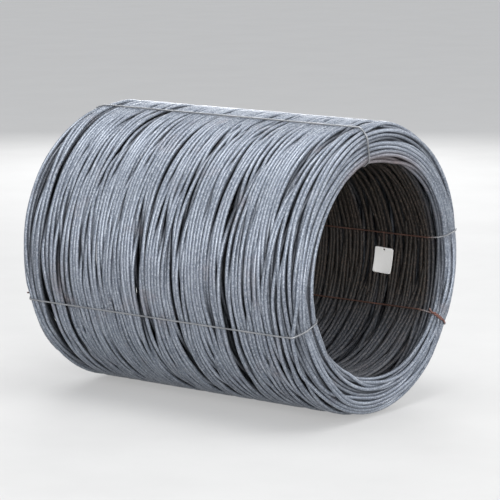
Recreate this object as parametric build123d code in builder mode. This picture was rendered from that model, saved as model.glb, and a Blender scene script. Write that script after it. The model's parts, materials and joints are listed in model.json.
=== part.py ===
from build123d import *
from math import asin, cos, degrees, pi, radians, sin, sqrt
import os

# Coil of hot-rolled wire rod, lying on its side. The coil's axis runs along Y, its front end faces -Y,
# and the origin is on the ground under the middle of the coil. All sizes are in millimetres.

# The coil
bore_diameter = 900.0
wall_thickness = 175.0
coil_length = 1500.0
inner_shoulder = 40.0  # rounding of each end into the bore
outer_shoulder = 60.0  # rounding of each end into the outside, where the loops sag back
turn_pitch = 33.0  # from one turn to the next across an end, with the slack between loops
turn_rise = 7.0  # how far a turn stands out of the valleys beside it
turn_crest = 0.5  # share of the pitch that is the crest of the turn

# The tie wires, each a closed loop through the bore and round the wall
tie_diameter = 7.0  # measured over the flats
wire_flats = 8  # the round wires are drawn with this many flats
tie_angles = {"right": 9.5, "top": 100.5, "lower_left": 199.0, "lower_right": 329.0}
tie_sunk = 0.5  # how far the tie lies below the bore, drawn in between the turns
tie_seat_gap = 0.3
tie_side_gap = 0.5
tie_corner_gap = 0.1  # where the tie leaves its furrow for the end
knot_at_front = ("lower_right",)  # the other knots are on the rear end
knot_length = 54.0
knot_steps = 6  # quarter turns of the twist
strand_gap = 0.4  # between the two twisted ends
strand_lead = 4.0
strand_lift = 0.6  # of the twist, over the tie beside it
strand_tail = 9.0

# The tag, bent to the bore, and the wire that hangs it from the right-hand tie
tag_width = 97.0
tag_height = 114.0
tag_thickness = 0.5
tag_corner = 9.0
tag_hole_diameter = 8.0
tag_hole_inset = 9.0  # from the upper edge to the centre of the hole
tag_gap = 0.2
tag_drop = 67.0  # from the tie down to the tag's upper edge
tag_depth = 300.0  # from the front end to the tag's middle
tag_wire_diameter = 1.0
tag_wire_gap = 0.3
tag_wire_step = 2.0  # degrees round the coil between two bends of the wire
turn_gap = 3.0  # open gap between two turns of the bore, where the tag's wire passes

# Places worked out from the sizes
bore_radius = bore_diameter / 2
outer_radius = bore_radius + wall_thickness
half_length = coil_length / 2
end_flat = wall_thickness - inner_shoulder - outer_shoulder

tie_radius = tie_diameter / 2
furrow_floor = bore_radius + tie_sunk + tie_diameter + tie_seat_gap
tie_inner = bore_radius + tie_sunk + tie_radius
tie_outer = outer_radius + tie_seat_gap + tie_radius
tie_reach = half_length + tie_seat_gap + tie_radius
furrow_end = half_length - inner_shoulder
furrow_end += sqrt(inner_shoulder**2 - (bore_radius + inner_shoulder - furrow_floor) ** 2)
tie_lift = tie_seat_gap + tie_radius
inner_bend = tie_reach - furrow_end - tie_corner_gap
outer_bend = outer_shoulder + tie_lift

strand_offset = (tie_radius / cos(pi / wire_flats) + strand_gap / 2) / cos(radians(45))
knot_start = inner_shoulder * pi / 2 + strand_lead
knot_end = knot_start + knot_length

tag_back = bore_radius - tag_gap
tag_front = tag_back - tag_thickness
tag_front_wire = tag_front - tag_wire_gap - tag_wire_diameter / 2
tag_back_wire = furrow_floor - tie_seat_gap + tag_wire_gap + tag_wire_diameter / 2
tag_pocket_floor = tag_back_wire + tag_wire_diameter
tag_middle = tag_depth - half_length
tag_top_angle = tie_angles["right"] - degrees(tag_drop / bore_radius)
tag_hole_angle = tag_top_angle - degrees(tag_hole_inset / bore_radius)
tag_wire_over = degrees((tie_radius + tag_wire_gap + tag_wire_diameter / 2) / tie_inner)

coil_axis = Axis((0, 0, outer_radius), (0, 1, 0))


def plane_through_axis(angle):
    """The plane through the coil's axis at an angle from +X, with x along the coil and y outwards."""
    turn = radians(angle)
    return Plane(origin=(0, 0, outer_radius), x_dir=(0, 1, 0), z_dir=(sin(turn), 0, -cos(turn)))


def plane_facing_out(angle):
    """The plane through the coil's axis that faces outwards at an angle, with x along the coil."""
    turn = radians(angle)
    return Plane(origin=(0, 0, outer_radius), x_dir=(0, 1, 0), z_dir=(cos(turn), 0, sin(turn)))


def plane_across_axis(along):
    """The plane square to the coil's axis, at a place along it, with x to the right and y up."""
    return Plane(origin=(0, along, outer_radius), x_dir=(1, 0, 0), z_dir=(0, -1, 0))


def on_circle(radius, angle):
    """A point of a circle round the coil's axis, in the plane across it."""
    return radius * cos(radians(angle)), radius * sin(radians(angle))


def point_on_end(run, depth):
    """A point of an end: run goes over the crests from bore to outside, and depth is below them."""
    inner_run = inner_shoulder * pi / 2
    if run <= inner_run:
        turn = run / inner_shoulder
        reach = inner_shoulder - depth
        x = half_length - inner_shoulder + reach * sin(turn)
        return x, bore_radius + inner_shoulder - reach * cos(turn)
    if run <= inner_run + end_flat:
        return half_length - depth, bore_radius + inner_shoulder + run - inner_run
    turn = (run - inner_run - end_flat) / outer_shoulder
    reach = outer_shoulder - depth
    x = half_length - outer_shoulder + reach * cos(turn)
    return x, outer_radius - outer_shoulder + reach * sin(turn)


def heading_on_end(run):
    """The direction in which the line over an end runs outwards, at a place on its flat or beyond."""
    turn = max(0, run - inner_shoulder * pi / 2 - end_flat) / outer_shoulder
    return -sin(turn), cos(turn)


def turns_of_end():
    """The line over the turns of one end, from the bore to the outside: a crest, then a valley."""
    whole_run = (inner_shoulder + outer_shoulder) * pi / 2 + end_flat
    count = round(whole_run / turn_pitch)
    step = whole_run / count
    points = []
    for number in range(count):
        points.append(point_on_end(number * step, turn_rise if number else 0))
        points.append(point_on_end((number + (1 - turn_crest) / 2) * step, 0))
        points.append(point_on_end((number + (1 + turn_crest) / 2) * step, 0))
    return points + [point_on_end(whole_run, 0)]


def tie_line(angle, side):
    """The middle line of a tie from one end of its knot to the other. side is 1 for a rear knot."""
    low_turn = tie_inner + inner_bend
    high_turn = tie_outer - outer_bend
    leave = knot_end + strand_lead
    bend = max(leave, inner_shoulder * pi / 2 + end_flat)
    x, y = point_on_end(bend, -tie_lift)
    ahead, up = heading_on_end(bend)
    with BuildLine() as line:
        if bend > leave:
            Line((side * x, y - bend + leave), (side * x, y))
        over = JernArc((side * x, y), (side * ahead, up), outer_bend, side * degrees(asin(up)))
        back = Line(over @ 1, (-side * (tie_reach - outer_bend), tie_outer))
        down = JernArc(back @ 1, back % 1, outer_bend, side * 90)
        far = Line(down @ 1, (-side * tie_reach, low_turn))
        under = JernArc(far @ 1, far % 1, inner_bend, side * 90)
        bore = Line(under @ 1, (side * (tie_reach - inner_bend), tie_inner))
        rise = JernArc(bore @ 1, bore % 1, inner_bend, side * 90)
        x, y = point_on_end(knot_start - strand_lead, -tie_lift)
        Line(rise @ 1, (side * x, y))
    return plane_through_axis(angle).from_local_coords(line.wire())


def strand_line(angle, side, way):
    """The middle line of one twisted end, with way 1 for the one that comes from the bore."""
    begin = knot_start if way == 1 else knot_end
    x, y = point_on_end(begin - way * strand_lead, -tie_lift)
    ahead, up = heading_on_end(begin - way * strand_lead)
    points = [(side * x, y, 0)]
    points.append((side * (x + way * strand_lead * ahead), y + way * strand_lead * up, 0))
    for step in range(1, knot_steps + 1):
        turn = pi + way * step * pi / 2
        run = begin + way * step * knot_length / knot_steps
        x, y = point_on_end(run, -tie_lift - strand_lift - strand_offset * (1 + cos(turn)))
        points.append((side * x, y, strand_offset * sin(turn)))
    ahead, up = heading_on_end(run)
    points.append((side * (x + way * strand_tail * ahead), y + way * strand_tail * up, 0))
    with BuildLine() as line:
        Polyline(*points)
    return plane_through_axis(angle).from_local_coords(line.wire())


def wire_section(line, diameter, across):
    """The section of a wire at the start of its middle line, with a flat that faces across."""
    with BuildSketch(Plane(origin=line @ 0, x_dir=across, z_dir=line % 0)) as section:
        RegularPolygon(diameter / 2, wire_flats, major_radius=False, rotation=180 / wire_flats)
    return section.sketch


# The rod coil: one turned solid, with a furrow in the bore under each tie
with BuildPart() as rod_coil:
    with BuildSketch(plane_through_axis(90)):
        with BuildLine():
            rear = turns_of_end()
            front = [(-x, y) for x, y in reversed(rear)]
            Polyline(*front, *rear, close=True)
        make_face()
    revolve(axis=coil_axis)
    for angle in tie_angles.values():
        with BuildSketch(plane_through_axis(angle)):
            with Locations((0, furrow_floor - inner_shoulder / 2)):
                Rectangle(coil_length, inner_shoulder)
        extrude(amount=tie_radius + tie_side_gap, both=True, mode=Mode.SUBTRACT)
    with BuildSketch(plane_across_axis(tag_middle)):
        high = tie_angles["right"] + 2 * tag_wire_over
        low = tag_hole_angle - tag_wire_over
        middle = (high + low) / 2
        with BuildLine():
            ThreePointArc(*[on_circle(tag_pocket_floor, turn) for turn in (low, middle, high)])
            Line(on_circle(tag_pocket_floor, high), on_circle(tag_back - tag_wire_diameter, high))
            Line(
                on_circle(tag_back - tag_wire_diameter, high),
                on_circle(tag_back - tag_wire_diameter, low),
            )
            Line(on_circle(tag_back - tag_wire_diameter, low), on_circle(tag_pocket_floor, low))
        make_face()
    extrude(amount=turn_gap / 2, both=True, mode=Mode.SUBTRACT)

# The tie wires: a loop and its two twisted ends
ties = {}
for name, angle in tie_angles.items():
    side = -1 if name in knot_at_front else 1
    across = plane_through_axis(angle).z_dir
    with BuildPart() as tie:
        loop = tie_line(angle, side)
        sweep(wire_section(loop, tie_diameter, across), path=loop)
        for way in (1, -1):
            strand = strand_line(angle, side, way)
            section = wire_section(strand, tie_diameter, across)
            sweep(section, path=strand, transition=Transition.RIGHT)
    ties[name] = tie.part

# The tag: a thin bare card bent to the bore, hanging under the right-hand tie
with BuildPart() as tag:
    with BuildSketch(plane_through_axis(tag_top_angle)):
        with Locations((tag_middle, (tag_back + tag_front) / 2)):
            Rectangle(tag_width, tag_thickness)
    revolve(axis=coil_axis, revolution_arc=degrees(tag_height / bore_radius))
    fillet(tag.edges().filter_by(lambda edge: edge.length < 2 * tag_thickness), tag_corner)
    with BuildSketch(plane_facing_out(tag_hole_angle)):
        with Locations((tag_middle, 0)):
            Circle(tag_hole_diameter / 2)
    extrude(amount=bore_radius, mode=Mode.SUBTRACT)

# The tag's wire: a closed loop round the tie and through the hole of the tag
with BuildPart() as tag_wire:
    high = tie_angles["right"] + tag_wire_over
    count = round((high - tag_hole_angle) / tag_wire_step)
    turns = [tag_hole_angle + (high - tag_hole_angle) * step / count for step in range(count + 1)]
    points = [on_circle(tag_front_wire, turn) for turn in turns]
    points += [on_circle(tag_back_wire, turn) for turn in reversed(turns)]
    start = (Vector(*points[0]) + Vector(*points[1])) / 2
    with BuildLine() as line:
        Polyline(start, *points[1:], points[0], start)
    ring = plane_across_axis(tag_middle).from_local_coords(line.wire())
    section = wire_section(ring, tag_wire_diameter, (0, 1, 0))
    sweep(section, path=ring, transition=Transition.RIGHT)

os.makedirs("parts", exist_ok=True)
rod_coil.part.label = "rod_coil"
export_step(rod_coil.part, "parts/rod_coil.step")
for name, solid in ties.items():
    solid.label = "tie_" + name
    export_step(solid, "parts/tie_" + name + ".step")
tag.part.label = "tag"
export_step(tag.part, "parts/tag.step")
tag_wire.part.label = "tag_wire"
export_step(tag_wire.part, "parts/tag_wire.step")
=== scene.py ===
import json
import math
import bpy
import numpy as np
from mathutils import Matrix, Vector


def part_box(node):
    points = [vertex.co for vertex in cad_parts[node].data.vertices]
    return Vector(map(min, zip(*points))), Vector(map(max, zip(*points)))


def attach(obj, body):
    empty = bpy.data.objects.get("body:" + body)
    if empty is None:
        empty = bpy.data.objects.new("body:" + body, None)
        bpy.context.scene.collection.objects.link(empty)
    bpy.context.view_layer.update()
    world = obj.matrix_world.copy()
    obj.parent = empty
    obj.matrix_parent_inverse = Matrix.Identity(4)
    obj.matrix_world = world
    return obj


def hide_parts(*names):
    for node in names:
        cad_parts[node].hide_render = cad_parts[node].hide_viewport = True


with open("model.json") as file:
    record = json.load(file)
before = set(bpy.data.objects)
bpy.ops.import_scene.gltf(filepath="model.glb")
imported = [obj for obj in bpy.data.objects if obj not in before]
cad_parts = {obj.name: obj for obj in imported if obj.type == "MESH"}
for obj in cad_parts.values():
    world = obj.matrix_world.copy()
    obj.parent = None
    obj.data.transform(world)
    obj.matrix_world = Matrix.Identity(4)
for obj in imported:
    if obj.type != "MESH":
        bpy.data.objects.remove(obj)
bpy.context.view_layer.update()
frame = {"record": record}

# The rod: one continuous hot-rolled wire rod of 16 mm, of steel with blue-grey mill scale. In the bore
# it is painted near-black and brown, as painted shade with a brown tint. It is laid in loops, each a
# little off the coil's axis in another direction, and then pressed together. The loops cross at small
# angles and bunch, and at the ends they lie as flat spirals.
rod_radius = 0.008
rod_sides = 8
turns = 376
steps = 84  # places round each turn
coil_low, coil_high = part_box("rod_coil")
axis_height = (coil_low[2] + coil_high[2]) / 2
outer_radius = (coil_high[2] - coil_low[2]) / 2
bore_radius = frame["record"]["mounts"][0]["dims"]["r_mm"] / 1000
half_length = (coil_high[1] - coil_low[1]) / 2
inner_shoulder = 0.040
outer_shoulder = 0.060
inner_reach = bore_radius + rod_radius
outer_reach = outer_radius - rod_radius

# How far the ties draw the turns in, and over what angle in degrees.
tie_angles = {"tie_right": 9.5, "tie_top": 100.5, "tie_lower_left": 199.0, "tie_lower_right": 329.0}
pinch_width = 8.0
pinch_in = 0.007
pinch_along = 0.012


def pinch(angle):
    """How far a tie draws the turns in: 1 at each tie, falling off as exp(-(angle / width)^2)."""
    away = [(angle - tie + 180) % 360 - 180 for tie in tie_angles.values()]
    return np.exp(-np.min(np.abs(away), axis=0) ** 2 / pinch_width**2)


def wall_reach(angle):
    """The least and the greatest radius at which a turn can lie: less of the wall beside a tie."""
    drawn_in = pinch_in * pinch(angle)
    return inner_reach + drawn_in, outer_reach - drawn_in


def shoulder_drop(past, shoulder):
    """How far a turn's place drops, so far past the start of a shoulder: r - sqrt(r^2 - past^2)."""
    bend = shoulder - rod_radius
    past = np.clip(past, 0, bend)
    return bend - np.sqrt(bend**2 - past**2)


def end_reach(radius, angle):
    """How far from the coil's middle a turn can lie: flat, with a quarter circle at each shoulder."""
    inner_drop = shoulder_drop(bore_radius + inner_shoulder - radius, inner_shoulder)
    outer_drop = shoulder_drop(radius - outer_radius + outer_shoulder, outer_shoulder)
    return half_length - rod_radius - inner_drop - outer_drop - pinch_along * pinch(angle)


def smooth_noise(rng, count, width):
    """Random values of spread 1 along the rod, smoothed by a bell curve exp(-2 (places / width)^2)."""
    margin = 4 * width
    wide = rng.normal(size=count + 2 * margin)
    bell = np.exp(-np.linspace(-2, 2, margin + 1) ** 2 * 2)
    values = np.convolve(wide, bell / np.sqrt((bell**2).sum()), "same")
    return values[margin : margin + count]


bunching_waves = 14
wave_lengths = (0.040, 0.160)
wave_share = 0.008  # of its own length, that a wave shifts the turns by
most_round = 3  # waves round the coil


def bunching(rng, angle, along):
    """How far the turns shift along the coil where they bunch: a sum of waves along and round it.

    Each wave is low for its length, so that turns at one angle keep their order.
    """
    shift = np.zeros_like(along)
    for _ in range(bunching_waves):
        wave = rng.uniform(*wave_lengths)
        round_it = rng.integers(-most_round, most_round + 1)
        phase = 2 * math.pi * (along / wave + rng.random()) + np.radians(angle) * round_it
        shift += wave_share * wave * np.sin(phase)
    return shift


# How the loops are laid. A change is the spread of a random value, and angles are in degrees.
lay_seed = 8
past_ends = 1.06  # of the coil's length, so that the loops heap up at its ends
end_begins = 0.88  # share of the half length at which the spirals of an end begin
end_blend = 0.10
off_axis = 0.098
off_axis_change = 0.012
off_axis_at_end = 0.030
loop_turn = 31  # from one loop to the next
loop_turn_change = 50
size_change = 0.014
spiral_reach = 0.072
spiral_turns = 7.6  # from the bore to the outside
kink_change = 0.0045  # within a sixth of a turn
bend_change = 0.006  # within a third of a turn
place_change = 0.005  # share of the half length
tilt_reach = 0.016
tilt_turn = 71  # from one loop to the next
tilt_turn_change = 60
end_room = 0.002  # left at each end for the pressing


def lay_loops():
    """Angle, radius and place along the axis of the rod at every step of every turn, as it is laid.

    A loop of radius R whose middle lies d off the axis towards angle f is at R + d cos(angle - f).
    Between the ends d is large and R hardly changes. At the ends d is small, and R goes evenly from
    the bore to the outside and back, so that the turns there are flat spirals.
    """
    rng = np.random.default_rng(lay_seed)
    count = turns * steps
    angle = np.tile(np.arange(steps) * 360 / steps, turns)
    turn = np.arange(count) / steps
    share = past_ends * (turn / turns * 2 - 1)
    at_end = np.clip((np.abs(share) - end_begins) / end_blend, 0, 1)
    towards = turn * loop_turn + loop_turn_change * smooth_noise(rng, count, 3 * steps)
    off = off_axis + off_axis_change * smooth_noise(rng, count, steps)
    off = off * (1 - at_end) + off_axis_at_end * at_end
    spiral = 2 / math.pi * np.arcsin(np.sin(math.pi * turn / spiral_turns))
    size = size_change * (1 - at_end) * smooth_noise(rng, count, steps) + spiral_reach * at_end * spiral
    radius = (inner_reach + outer_reach) / 2 + size + off * np.cos(np.radians(angle - towards))
    kinks = kink_change * smooth_noise(rng, count, steps // 6)
    bends = bend_change * smooth_noise(rng, count, steps // 3)
    radius = np.clip(radius + (kinks + bends), *wall_reach(angle))
    share = np.clip(share + place_change * smooth_noise(rng, count, steps // 5), -1, 1)
    lean = angle - turn * tilt_turn - tilt_turn_change * smooth_noise(rng, count, 2 * steps)
    tilt = tilt_reach * np.cos(np.radians(lean))
    along = share * (end_reach(radius, angle) - end_room) + tilt
    along += bunching(rng, angle, along)
    return angle, radius, along


def smoothed(values, width):
    """Values along the rod, averaged over a width each way, weighted by exp(-(2 places / width)^2)."""
    bell = np.exp(-np.linspace(-2, 2, 2 * width + 1) ** 2)
    return np.convolve(np.pad(values, width, "edge"), bell / bell.sum(), "valid")


# How the laid turns are pressed.
press_rounds = 110
neighbours = 12  # in order along the coil, from which a turn is kept apart
least_apart = 0.0005  # so that nothing is divided by zero where two turns lie in one place
lift_over = 0.002  # how strongly a turn that crosses another is sent over it
out_share = 0.7  # of a push across the wall, against one along the coil
open_gap = 1.5 * rod_radius  # along the coil, past which light could come through
push_share = 0.8
stiffness = 0.12
along_width = 4  # steps
out_width = 8


def press_turns(angle, radius, along):
    """The laid turns, with those that touch pushed apart at each angle.

    Two that are closer than the rod is thick move apart by half of what is missing each, and where
    they cross, the later one goes over the earlier. Those beside a gap through the wall are drawn
    together, and the rod is kept smooth along itself.
    """
    low, high = wall_reach(angle)
    place = np.arange(steps)
    for _ in range(press_rounds):
        order = np.argsort(along.reshape(turns, steps), axis=0)
        a = along.reshape(turns, steps)[order, place]
        r = radius.reshape(turns, steps)[order, place]
        push_a = np.zeros_like(a)
        push_r = np.zeros_like(r)
        for gap in range(1, neighbours + 1):
            da = a[gap:] - a[:-gap]
            dr = r[gap:] - r[:-gap]
            later = np.sign(order[gap:] - order[:-gap])
            apart = np.sqrt(da**2 + dr**2) + least_apart
            short = np.clip(2 * rod_radius - apart, 0, None) * 0.5
            move_a = short * (da + least_apart) / apart
            move_r = short * (dr + lift_over * later) / apart * out_share
            push_a[gap:] += move_a
            push_a[:-gap] -= move_a
            push_r[gap:] += move_r
            push_r[:-gap] -= move_r
        wide = np.clip(a[1:] - a[:-1] - open_gap, 0, None)
        push_a[1:] -= wide
        push_a[:-1] += wide
        push_along = np.empty_like(a)
        push_along[order, place] = push_a
        push_out = np.empty_like(r)
        push_out[order, place] = push_r
        along = along + push_share * smoothed(push_along.ravel(), along_width)
        along += stiffness * (smoothed(along, along_width) - along)
        radius = np.clip(radius + push_share * smoothed(push_out.ravel(), out_width), low, high)
        reach = end_reach(radius, angle)
        along = np.clip(along, -reach, reach)
    return angle, radius, along


def depth_below(radius, along):
    """How far a place in the wall lies below its surface: the least distance to a face of the coil,
    or, near a shoulder of radius s, s less the distance to the shoulder's middle."""
    to_end = half_length - np.abs(along)
    depth = []
    for to_face, shoulder in (
        (outer_radius - radius, outer_shoulder),
        (radius - bore_radius, inner_shoulder),
    ):
        near_face = np.clip(shoulder - to_face, 0, None)
        near_end = np.clip(shoulder - to_end, 0, None)
        to_middle = np.hypot(near_face, near_end)
        depth.append(np.where(to_middle > 0, shoulder - to_middle, np.minimum(to_face, to_end)))
    return np.minimum(*depth)


def on_coil(angle, radius, along):
    """Points round the coil: x = radius cos(angle), y = along, z = axis height + radius sin(angle)."""
    turn = np.radians(angle)
    place = (radius * np.cos(turn), along, axis_height + radius * np.sin(turn))
    return np.stack(np.broadcast_arrays(*place), axis=-1)


def tube(path, outward, radius, sides):
    """Rings of points round a path: point + radius (n cos a + b sin a), n and b square to the path."""
    ahead = np.gradient(path, axis=0)
    ahead /= np.linalg.norm(ahead, axis=1, keepdims=True)
    normal = outward - (outward * ahead).sum(1, keepdims=True) * ahead
    normal /= np.linalg.norm(normal, axis=1, keepdims=True)
    across = np.cross(ahead, normal)
    turn = np.arange(sides) * 2 * math.pi / sides
    ring = normal[:, None] * np.cos(turn)[:, None] + across[:, None] * np.sin(turn)[:, None]
    return path[:, None] + radius * ring


def lengths_along(path):
    """How far along a path each of its points lies: the sum of the steps before it."""
    step = np.linalg.norm(np.diff(path, axis=0), axis=1)
    return np.concatenate([[0], np.cumsum(step)])


def ring_quads(rings, sides):
    """Faces between rings of points: two neighbours on one ring and the same two on the next."""
    row = np.arange(rings - 1)[:, None] * sides
    column = np.arange(sides)[None, :]
    after = (column + 1) % sides
    corners = (row + column, row + after, row + sides + after, row + sides + column)
    return np.stack(corners, axis=-1).reshape(-1, 4)


def new_piece(name, points, faces, uv, material):
    """A smooth piece from its points, its faces and the UV of each corner of each face."""
    mesh = bpy.data.meshes.new(name)
    mesh.from_pydata(points.reshape(-1, 3), [], faces)
    mesh.uv_layers.new(name="UVMap").data.foreach_set("uv", uv)
    mesh.shade_smooth()
    mesh.materials.append(material)
    piece = bpy.data.objects.new(name, mesh)
    bpy.context.collection.objects.link(piece)
    return piece


def tube_piece(name, rings, start, material, radius):
    """A closed piece over rings of points, with the length in metres and the way round as its UV."""
    count, sides = rings.shape[:2]
    first_cap = list(range(sides))[::-1]
    last_cap = [(count - 1) * sides + side for side in range(sides)]
    faces = ring_quads(count, sides).tolist() + [first_cap, last_cap]
    length = start + lengths_along(rings.mean(1))
    side = np.arange(sides)
    side_width = 2 * math.pi * radius / sides
    uv = np.empty((count - 1, sides, 4, 2))
    uv[..., 0] = np.stack([length[:-1], length[:-1], length[1:], length[1:]], axis=-1)[:, None]
    uv[..., 1] = np.stack([side, side + 1, side + 1, side], axis=-1) * side_width
    cap_uv = np.zeros((2, sides, 2))
    cap_uv[..., 0] = length[[0, -1], None]
    return new_piece(name, rings, faces, np.concatenate([uv.ravel(), cap_uv.ravel()]), material)


def give_values(piece, name, values):
    """Stores a value for each point of a piece, which its material reads by that name."""
    piece.data.attributes.new(name, "FLOAT", "POINT").data.foreach_set("value", values)


class Shade:
    """A socket of a material, on which + - and * add Math nodes."""

    def __init__(self, tree, socket):
        self.tree = tree
        self.socket = socket

    def node(self, kind, settings, sockets, output=0):
        """A new node with its settings, the values or links of its sockets, and one of its outputs."""
        made = self.tree.nodes.new(kind)
        for name, value in settings.items():
            if name == "stops":
                for stop, (place, color) in enumerate(value):
                    ramp = made.color_ramp.elements
                    element = ramp[stop] if stop < 2 else ramp.new(place)
                    element.position = place
                    element.color = color
            else:
                setattr(made, name, value)
        for name, value in sockets.items():
            if isinstance(value, Shade):
                self.tree.links.new(value.socket, made.inputs[name])
            else:
                made.inputs[name].default_value = value
        return Shade(self.tree, made.outputs[output])

    def math(self, operation, first, second):
        """The result of a Math node on two values."""
        return self.node("ShaderNodeMath", {"operation": operation}, {0: first, 1: second})

    def __add__(self, other):
        return self.math("ADD", self, other)

    def __radd__(self, other):
        return self.math("ADD", other, self)

    def __sub__(self, other):
        return self.math("SUBTRACT", self, other)

    def __rsub__(self, other):
        return self.math("SUBTRACT", other, self)

    def __mul__(self, other):
        return self.math("MULTIPLY", self, other)

    def __rmul__(self, other):
        return self.math("MULTIPLY", other, self)

    def ramp(self, *stops):
        """A grey value through a colour ramp with (place, (r, g, b)) stops."""
        stops = [(place, (*color, 1)) for place, color in stops]
        return self.node("ShaderNodeValToRGB", {"stops": stops}, {"Fac": self})

    def smooth(self, low, high):
        """0 below low, 1 above high, and a smooth rise between them."""
        return self.node(
            "ShaderNodeMapRange",
            {"interpolation_type": "SMOOTHSTEP"},
            {"Value": self, "From Min": low, "From Max": high},
        )

    def mix(self, first, second):
        """Between two colours, by this value. A Mix node's colours are inputs 6 and 7 and output 2."""
        colors = [(*color, 1) if isinstance(color, tuple) else color for color in (first, second)]
        return self.node(
            "ShaderNodeMix",
            {"data_type": "RGBA"},
            {"Factor": self, 6: colors[0], 7: colors[1]},
            output=2,
        )


def new_material(name):
    """A material, its principled shader, and its Object coordinates and UV map as sockets."""
    material = bpy.data.materials.new(name)
    material.use_nodes = True
    tree = material.node_tree
    coordinates = tree.nodes.new("ShaderNodeTexCoord").outputs
    place = Shade(tree, coordinates["Object"])
    on_map = Shade(tree, coordinates["UV"])
    return material, tree.nodes["Principled BSDF"], place, on_map


def plug(shader, name, value):
    """Links a shaded value to a socket of a shader."""
    value.tree.links.new(value.socket, shader.inputs[name])


def relief(shader, height, strength, distance):
    """Gives a shader's surface a small relief, by a Bump node."""
    sockets = {"Height": height, "Strength": strength, "Distance": distance}
    plug(shader, "Normal", height.node("ShaderNodeBump", {}, sockets))


def noise(vector, scale, detail=4.0, roughness=0.55):
    """Fractal noise at a place, from 0 to 1."""
    sockets = {"Vector": vector, "Scale": scale, "Detail": detail, "Roughness": roughness}
    return vector.node("ShaderNodeTexNoise", {}, sockets)


def stretched(vector, *scale):
    """A place with each of its coordinates multiplied."""
    return vector.node("ShaderNodeVectorMath", {"operation": "MULTIPLY"}, {0: vector, 1: scale})


def stored(place, name):
    """The value that a piece stores at its points by that name."""
    return place.node("ShaderNodeAttribute", {"attribute_name": name}, {}, output="Fac")


bore_fade = (0.010, 0.070)  # from the bore's surface into the wall
end_fade = (0.015, 0.075)  # from an end inwards


def lie_of(place):
    """How far a point lies by the bore and at an end of the coil, each from 0 to 1, and its height."""
    down = (0, 0, -axis_height)
    from_axis = place.node("ShaderNodeVectorMath", {"operation": "ADD"}, {0: place, 1: down})
    across = {0: stretched(from_axis, 1, 0, 1)}
    away = place.node("ShaderNodeVectorMath", {"operation": "LENGTH"}, across, output="Value")
    from_middle = place.node("ShaderNodeSeparateXYZ", {}, {0: place}, output="Y")
    height = place.node("ShaderNodeSeparateXYZ", {}, {0: place}, output="Z")
    by_bore = 1 - away.smooth(bore_radius + bore_fade[0], bore_radius + bore_fade[1])
    fades_in = (half_length - end_fade[1]) ** 2
    full = (half_length - end_fade[0]) ** 2
    at_end = (from_middle * from_middle).smooth(fades_in, full)
    return by_bore, at_end, height


# The rod's surface: patches and streaks of scale along it, with pale flakes, and rusty in spots and at
# the bore's top. Deep in the wall it is painted darker, as painted shade. In the bore it is painted
# near-black and brown, as painted shade with a brown tint, and less dark at the bore's bottom, as
# painted light where light falls in.
scale_dark = (0.080, 0.093, 0.121)
scale_grey = (0.185, 0.210, 0.255)
scale_pale = (0.325, 0.358, 0.416)
flake_color = (0.52, 0.56, 0.62)
streak_color = (0.66, 0.70, 0.76)
# Painted shade for turns that lie deep in the wall.
deep_shade_color = (0.020, 0.020, 0.024)
# Painted shade in the bore: near-black and brown, with a brown tint.
bore_shade_dark = (0.005, 0.004, 0.003)
bore_shade_brown = (0.016, 0.012, 0.010)
bore_shade_pale = (0.072, 0.054, 0.042)
rust_dark = (0.120, 0.075, 0.064)
rust_pale = (0.290, 0.200, 0.180)
deep_shade_fade = (0.012, 0.034)  # below the surface of the wall

scale_steel, shader, place, along_rod = new_material("mill scale")
patches = noise(stretched(along_rod, 1.0, 12.0, 1.0), scale=3.0, detail=5.0)
streaks = noise(stretched(along_rod, 9.0, 300.0, 1.0), scale=1.0)
flakes = noise(place, scale=130.0, detail=5.0, roughness=0.68).smooth(0.47, 0.60)
grains = noise(place, scale=520.0, detail=2.0)
by_bore, at_end, height = lie_of(place)
# Painted light: the bore's painted shade is lighter at its bottom, where light falls in.
lit_low_down = 1 - height.smooth(axis_height - bore_radius, axis_height - bore_radius * 0.3)
shade_in_bore = by_bore * (1 - at_end) * (1 - lit_low_down * 0.25)
scale_color = patches * 0.6 + streaks * 0.4
scale_color = scale_color.ramp((0.30, scale_dark), (0.50, scale_grey), (0.68, scale_pale))
scale_color = (flakes * 0.55).mix(scale_color, flake_color)
scale_color = (streaks.smooth(0.56, 0.72) * 0.6).mix(scale_color, streak_color)
# Painted shade: the deeper a turn lies below the wall's surface, the darker it is painted.
deep_shade = stored(place, "depth").smooth(*deep_shade_fade)
scale_color = (deep_shade * 0.75).mix(scale_color, deep_shade_color)
bore_shade_color = patches * 0.5 + flakes * 0.5
bore_shade_color = bore_shade_color.ramp((0.20, bore_shade_dark), (0.50, bore_shade_brown), (0.85, bore_shade_pale))
scale_color = shade_in_bore.mix(scale_color, bore_shade_color)
at_top = by_bore * height.smooth(axis_height + bore_radius * 0.75, axis_height + bore_radius)
spots = noise(place, scale=6.0, detail=5.0, roughness=0.65).smooth(0.54, 0.72)
rust = spots * (0.15 + flakes * 0.25) + at_top * 0.55
rust_color = grains.ramp((0.35, rust_dark), (0.65, rust_pale))
plug(shader, "Base Color", (rust * (1 - shade_in_bore)).mix(scale_color, rust_color))
# In the bore the painted shade also takes away most of the shine.
plug(shader, "Metallic", 0.35 - rust * 0.25 - shade_in_bore * 0.35)
plug(shader, "Roughness", 0.32 + flakes * 0.12 + rust * 0.25 + shade_in_bore * 0.20 + grains * 0.08)
relief(shader, flakes * 0.5 + streaks * 0.3 + grains * 0.2, strength=0.35, distance=0.0009)
shader.inputs["Specular IOR Level"].default_value = 0.30

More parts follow.
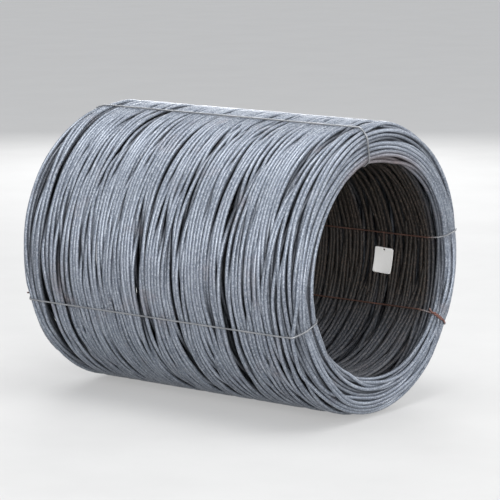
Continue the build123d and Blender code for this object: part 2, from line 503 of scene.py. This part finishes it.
rod_parts = 5
turn_length = math.pi * (bore_radius + outer_radius)
rod_angles, rod_radii, rod_places = press_turns(*lay_loops())
outward = on_coil(rod_angles, 1.0, 0.0) - np.array([0, 0, axis_height])
rings = tube(on_coil(rod_angles, rod_radii, rod_places), outward, rod_radius, rod_sides)
for part in range(rod_parts):
    first = turns * part // rod_parts * steps
    last = min(turns * (part + 1) // rod_parts * steps + 1, len(rings))
    start = first / steps * turn_length
    piece = tube_piece("rod_turns_%d" % (part + 1), rings[first:last], start, scale_steel, rod_radius)
    depth = depth_below(rod_radii[first:last], rod_places[first:last])
    give_values(piece, "depth", np.repeat(depth, rod_sides))
    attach(piece, "root")
    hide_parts("rod_coil")

# The four ties: soft annealed steel wire, pulled tight through the bore and round the wall, so that it
# lies on the turns that stand out most. Its two ends are twisted round each other into a knot and cut.
# The knot of the lower right tie is at the front beside the bore, the others are at the rear.
tie_radius = 0.0035
tie_sides = 10
knots_at_front = ("tie_lower_right",)
knot_before = 0.008  # how far the knot begins before the outer end of the inner shoulder
knot_length = 0.062
knot_turns = 2.5  # with the half turn, the wire leaves the knot below and its end above
knot_radius = 0.0038
tail_length = 0.022
tail_lift = 0.007  # off the turns
tail_spread = 0.013  # sideways
knot_step = 0.0016  # between points of the line where it is twisted
run_step = 0.007  # between points of the rest
knot_margin = 0.010  # how far the short steps go on past the knot
run_margin = 0.015  # how far from the knot the long steps begin
rust_reach = 0.075  # from the knot's middle
hull_step = 0.5  # degrees


def tie_route(angle, side):
    """A tight wire round the turns at an angle: its line, the outward direction and the length along
    it at each point, and the length at which its knot begins.

    In the plane through the axis, the wire runs on the convex hull of the turns' sections: for each
    direction, the turn that lies furthest that way, plus rod and wire radius in that direction.
    """
    column = angle / 360 * steps
    here, part = int(column), column % 1
    r = rod_radii.reshape(turns, steps)
    a = rod_places.reshape(turns, steps) * side
    r = (1 - part) * r[:, here] + part * r[:, here + 1]
    a = (1 - part) * a[:, here] + part * a[:, here + 1]
    turn = np.radians(np.arange(-90, 270, hull_step))
    way = np.stack([np.cos(turn), np.sin(turn)], axis=-1)
    furthest = (way[:, :1] * a + way[:, 1:] * r).argmax(1)
    line = np.stack([a[furthest], r[furthest]], axis=-1) + (rod_radius + tie_radius) * way
    line = np.vstack([line, line[:1]])
    turn = np.append(turn, turn[0] + 2 * math.pi)
    length = lengths_along(line)
    over_shoulder = line[:, 1] > bore_radius + inner_shoulder - knot_before
    return line, turn, length, length[over_shoulder.argmax()]


def lay_tie(angle, side):
    """The line of a tie from one free end to the other, the direction sideways of it, and how near
    to the knot each of its points is, from 0 to 1.

    The wire goes once round and then lies beside its own start. There the two turn round each other:
    q (1 + cos t) outwards and q sin t sideways, and t is half a turn more for the second. The tails
    beyond lift and spread with the square of the length.
    """
    line, turn, length, begin = tie_route(angle, side)
    round_it = length[-1]
    first_end = np.arange(-tail_length, knot_length + knot_margin, knot_step)
    between = np.arange(knot_length + run_margin, round_it - run_margin, run_step)
    last_end = np.arange(round_it - knot_margin, round_it + knot_length + tail_length, knot_step)
    u = np.concatenate([first_end, between, last_end])
    s = (begin + u) % round_it
    x = np.interp(s, length, line[:, 0])
    y = np.interp(s, length, line[:, 1])
    turn = np.interp(s, length, turn)
    twist = np.clip(u / knot_length, 0, 1) + np.clip((u - round_it) / knot_length, 0, 1)
    twist *= 2 * math.pi * knot_turns
    first_tail = np.clip(-u / tail_length, 0, 1) ** 2
    last_tail = np.clip((u - round_it - knot_length) / tail_length, 0, 1) ** 2
    lift = knot_radius * (1 + np.cos(twist)) + tail_lift * (first_tail + last_tail)
    aside = knot_radius * np.sin(twist) + tail_spread * (first_tail - last_tail)
    x += lift * np.cos(turn)
    y += lift * np.sin(turn)
    sideways = np.array([-math.sin(math.radians(angle)), 0, math.cos(math.radians(angle))])
    path = on_coil(angle, y, side * x) + aside[:, None] * sideways
    near_knot = np.zeros_like(u)
    for knot_middle in (knot_length / 2, round_it + knot_length / 2):
        near_knot += np.clip(1 - np.abs(u - knot_middle) / rust_reach, 0, 1)
    return path, sideways, near_knot


# Pale outside; in the bore darker and brown, as painted shade with a brown tint; and rusty where the
# knot's bends have shed the scale.
wire_dark = (0.180, 0.184, 0.194)
wire_grey = (0.335, 0.342, 0.355)
wire_pale = (0.490, 0.497, 0.510)
bore_wire_shade_dark = (0.050, 0.024, 0.018)
bore_wire_shade_pale = (0.130, 0.068, 0.052)
knot_rust_dark = (0.110, 0.036, 0.026)
knot_rust_pale = (0.270, 0.095, 0.060)

tie_wire, shader, place, along_wire = new_material("annealed wire")
blotches = noise(stretched(along_wire, 1.0, 8.0, 1.0), scale=9.0, detail=5.0)
grit = noise(place, scale=600.0, detail=2.0)
by_bore, at_end, _ = lie_of(place)
# Painted shade: in the bore the wire is painted darker and brown, and shines less.
shade_in_bore = by_bore * (1 - at_end)
wire_color = blotches.ramp((0.30, wire_dark), (0.55, wire_grey), (0.80, wire_pale))
bore_shade_color = blotches.ramp((0.30, bore_wire_shade_dark), (0.70, bore_wire_shade_pale))
wire_color = shade_in_bore.mix(wire_color, bore_shade_color)
rust = (stored(place, "rust") * 1.5 + blotches - 0.55).smooth(0.0, 0.6)
rust_color = grit.ramp((0.35, knot_rust_dark), (0.70, knot_rust_pale))
plug(shader, "Base Color", (rust * 0.9).mix(wire_color, rust_color))
plug(shader, "Metallic", 0.50 - rust * 0.40 - shade_in_bore * 0.30)
plug(shader, "Roughness", 0.38 + rust * 0.25 + shade_in_bore * 0.15)
relief(shader, grit, strength=0.3, distance=0.0004)

tie_lines = {}
for name, tie_angle in tie_angles.items():
    path, sideways, near_knot = lay_tie(tie_angle, -1 if name in knots_at_front else 1)
    tie_lines[name] = path
    rings = tube(path, sideways, tie_radius, tie_sides)
    piece = tube_piece(name + "_wire", rings, 0.0, tie_wire, tie_radius)
    give_values(piece, "rust", np.repeat(near_knot, tie_sides))
    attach(piece, "root")
    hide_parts(name)

# The tag: a bare white plastic card with a punched hole, bent to the bore that it lies on. It hangs
# from the right-hand tie on a thin wire, a little askew, and has taken some scale dust from the turns.
tag_low, tag_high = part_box("tag")
tag_middle = (tag_low[1] + tag_high[1]) / 2
tag_width = tag_high[1] - tag_low[1]
tag_height = 0.114
tag_thickness = 0.0006
tag_corner = 0.009
tag_lean = 2.5  # degrees
tag_inset = 0.0016  # from the bore's radius
tag_curl = 0.004  # towards the axis, at the lower corners
tag_rings = 20
tag_spokes = 128
outline_start = 0.2  # beyond every corner of the card
outline_rounds = 60
hole_radius = 0.004
hole_inset = 0.009  # from the card's top edge to the hole's middle
hole_angle = math.degrees(math.atan2(tag_high[2] - axis_height, tag_high[0]))
hole_angle -= math.degrees(hole_inset / bore_radius)


def outline_reach(way):
    """How far the card's outline lies from the hole's middle, in each direction.

    From outside, each point goes back by its distance to a rectangle with rounded corners, which is
    |q| - r for a place q beyond the corner's middle, until it lies on it.
    """
    corner = np.array([tag_width / 2 - tag_corner, tag_height / 2 - tag_corner])
    middle = np.array([0, hole_inset - tag_height / 2])
    reach = np.full(len(way), outline_start)
    for _ in range(outline_rounds):
        q = np.abs(way * reach[:, None] - middle) - corner
        reach -= np.linalg.norm(np.clip(q, 0, None), axis=1) + np.clip(q.max(1), None, 0) - tag_corner
    return reach


def tag_sheet():
    """The card as rings from the round hole to the outline, bent to the bore, and the same rings flat.

    Along each spoke a point goes evenly from the hole's edge to the outline. The card is turned about
    the hole, then laid a little inside the bore's radius, less a slight curl.
    """
    turn = np.arange(tag_spokes) * 2 * math.pi / tag_spokes
    way = np.stack([np.cos(turn), np.sin(turn)], axis=-1)
    share = np.linspace(0, 1, tag_rings)[:, None, None]
    card = (hole_radius + share * (outline_reach(way)[:, None] - hole_radius)) * way
    lean = math.radians(tag_lean)
    u = card[..., 0] * math.cos(lean) - card[..., 1] * math.sin(lean)
    v = card[..., 0] * math.sin(lean) + card[..., 1] * math.cos(lean)
    curl = tag_curl * (card[..., 0] / tag_width * 2) ** 2 * np.clip(-card[..., 1] / tag_height, 0, 1)
    angle = hole_angle + np.degrees(v / bore_radius)
    return on_coil(angle, bore_radius - tag_inset - curl, tag_middle + u), card


card_grey = (0.86, 0.85, 0.83)
card_pale = (0.94, 0.93, 0.91)
dust_color = (0.40, 0.38, 0.37)

card_white, shader, place, on_card = new_material("white card")
dust = noise(on_card, scale=26.0, detail=5.0)
film = noise(on_card, scale=7.0, detail=3.0)
card_color = film.ramp((0.30, card_grey), (0.70, card_pale))
plug(shader, "Base Color", (dust.smooth(0.60, 0.84) * 0.35).mix(card_color, dust_color))
plug(shader, "Roughness", 0.42 + dust * 0.25)
relief(shader, film, strength=0.2, distance=0.002)

sheet, card = tag_sheet()
quads = ring_quads(tag_rings, tag_spokes)
card_uv = card.reshape(-1, 2)[quads.ravel()].ravel()
hanging_tag = new_piece("hanging_tag", sheet, quads.tolist(), card_uv, card_white)
wall = hanging_tag.modifiers.new("card", "SOLIDIFY")
wall.thickness = tag_thickness
wall.offset = 0
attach(hanging_tag, "root")
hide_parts("tag")

# The tag's wire: one thin soft wire that goes round the tie, down over the front of the card's edge,
# through the hole and back up behind it, where its ends meet.
tag_wire_radius = 0.0008
tag_wire_sides = 8
tag_wire_points = 96
before_card = 0.0032  # from the bore's radius
behind_card = 0.0002
past_hole = 0.1  # degrees
tie_points = 60  # of the tie, those nearest to the tag along the coil
tie_at = tie_lines["tie_right"]
near = np.abs(tie_at[:, 1] - tag_middle).argsort()[:tie_points]
tie_place = tie_at[near[np.hypot(tie_at[near, 0], tie_at[near, 2] - axis_height).argmin()]]
tie_turn = math.degrees(math.atan2(tie_place[2] - axis_height, tie_place[0]))
tie_depth = math.hypot(tie_place[0], tie_place[2] - axis_height)


def rounded(wave):
    """A wave with fuller crests: its root, with its sign."""
    return np.sign(wave) * np.abs(wave) ** 0.5


def lay_tag_wire():
    """A ring through the hole and round the tie, in the plane across the coil.

    It is a long rounded loop: with t once round, its angle goes between tie and hole as the rounded
    cos t, and its radius between the card's front and its back as the rounded sin t.
    """
    clear = tie_radius + tag_wire_radius
    turn = np.linspace(0, 2 * math.pi, tag_wire_points + 1)[:-1]
    high = tie_turn + math.degrees(clear / tie_depth)
    low = hole_angle - past_hole
    at = (high + low) / 2 + (high - low) / 2 * rounded(np.cos(turn))
    near_tie = np.clip((at - hole_angle) / (high - hole_angle), 0, 1)
    front = (bore_radius - before_card) * (1 - near_tie) + (tie_depth - clear) * near_tie
    behind = (bore_radius - behind_card) * (1 - near_tie) + (tie_depth + clear) * near_tie
    deep = (front + behind) / 2 + (behind - front) / 2 * rounded(np.sin(turn))
    ring = on_coil(at, deep, tag_middle)
    return np.vstack([ring, ring[:2]])


rings = tube(lay_tag_wire(), np.array([0.0, 1.0, 0.0]), tag_wire_radius, tag_wire_sides)
piece = tube_piece("tag_tie_wire", rings, 0.0, tie_wire, tag_wire_radius)
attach(piece, "root")
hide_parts("tag_wire")

# The floor, the sky, the lamps and the camera. To the camera and in shiny surfaces, the floor and the
# sky are paler than the light that they give.
floor_reach = 30
floor_dark = (0.325, 0.323, 0.318)
floor_pale = (0.365, 0.363, 0.358)
floor_glow = 0.36
sky_color = (0.86, 0.90, 0.96, 1)
sky_light = 0.40
sky_glow = 0.30


def in_view(tree):
    """1 for a ray from the camera, from a shiny surface or through glass, and else 0."""
    path = tree.nodes.new("ShaderNodeLightPath").outputs
    seen = Shade(tree, path["Is Camera Ray"])
    mirrored = Shade(tree, path["Is Glossy Ray"])
    let_through = Shade(tree, path["Is Transmission Ray"])
    return (seen + mirrored + let_through).smooth(0.0, 1.0)


corners = [(x * floor_reach, y * floor_reach, 0) for x, y in ((-1, -1), (1, -1), (1, 1), (-1, 1))]
floor_mesh = bpy.data.meshes.new("floor")
floor_mesh.from_pydata(corners, [], [(0, 1, 2, 3)])
floor = bpy.data.objects.new("floor", floor_mesh)
bpy.context.collection.objects.link(floor)
floor_paint, shader, place, _ = new_material("pale floor")
concrete = noise(place, scale=1.7, detail=6.0, roughness=0.6)
plug(shader, "Base Color", concrete.ramp((0.30, floor_dark), (0.70, floor_pale)))
plug(shader, "Roughness", 0.80 + concrete * 0.15)
shader.inputs["Emission Color"].default_value = (1, 1, 1, 1)
plug(shader, "Emission Strength", in_view(place.tree) * floor_glow)
floor_mesh.materials.append(floor_paint)

world = bpy.data.worlds.new("studio")
world.use_nodes = True
sky = world.node_tree.nodes["Background"]
sky.inputs["Color"].default_value = sky_color
plug(sky, "Strength", sky_light + in_view(world.node_tree) * sky_glow)
bpy.context.scene.world = world

lamps_aim = Vector((0, 0, 0.6))
for name, spot, size, power in (
    ("lamp above", (-0.6, -0.6, 6.4), 4.5, 320),
    ("lamp left", (-6.0, 0.5, 3.6), 4.0, 30),
    ("lamp front", (-6.0, -6.8, 2.6), 3.0, 590),
    ("lamp behind", (6.5, 5.0, 3.6), 4.0, 330),
    ("lamp right", (6.0, -5.0, 3.0), 4.0, 160),
):
    lamp = bpy.data.lights.new(name, "AREA")
    lamp.size = size
    lamp.energy = power
    holder = bpy.data.objects.new(name, lamp)
    holder.location = spot
    holder.rotation_euler = (lamps_aim - Vector(spot)).to_track_quat("-Z", "Y").to_euler()
    bpy.context.collection.objects.link(holder)

camera_azimuth = math.radians(-52.5)
camera_elevation = math.radians(9.5)
camera_distance = 11.5
camera_aim = Vector((0.0, -0.05, 0.64))
back = Vector(
    (
        math.sin(camera_azimuth) * math.cos(camera_elevation),
        -math.cos(camera_azimuth) * math.cos(camera_elevation),
        math.sin(camera_elevation),
    )
)
lens = bpy.data.cameras.new("camera")
lens.sensor_width = 36
lens.lens = 190
camera = bpy.data.objects.new("camera", lens)
camera.location = camera_aim + camera_distance * back
camera.rotation_euler = back.to_track_quat("Z", "Y").to_euler()
bpy.context.collection.objects.link(camera)
bpy.context.scene.camera = camera
bpy.context.scene.view_settings.view_transform = "Standard"
